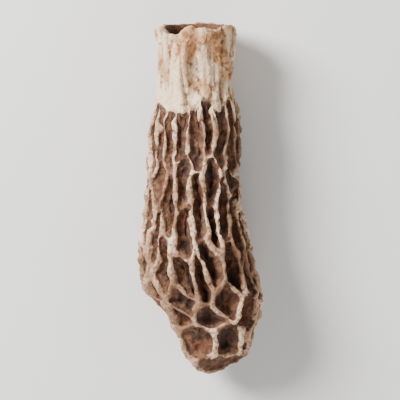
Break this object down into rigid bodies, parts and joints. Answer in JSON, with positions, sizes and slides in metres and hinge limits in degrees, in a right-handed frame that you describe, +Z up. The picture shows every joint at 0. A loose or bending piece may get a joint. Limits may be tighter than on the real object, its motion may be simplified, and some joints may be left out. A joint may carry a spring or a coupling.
{
  "type": "dried morel mushroom",
  "caption": "Dried morel mushroom with a shrunken cap under a raised net of ribs and a short hollow cut stem, lying on its side",
  "frame": {"origin": "bottom centre of the box round the mushroom, where its belly lies on the table", "axes": "Y runs along the mushroom from the tip of the cap (minus Y) to the cut end of the stem (plus Y), X is across it, Z is up"},
  "size_m": [0.0134, 0.0378, 0.0116],
  "materials": {
    "flesh": "matte"
  },
  "bodies": {
    "root": {"morel": "flesh"}
  },
  "joints": []
}
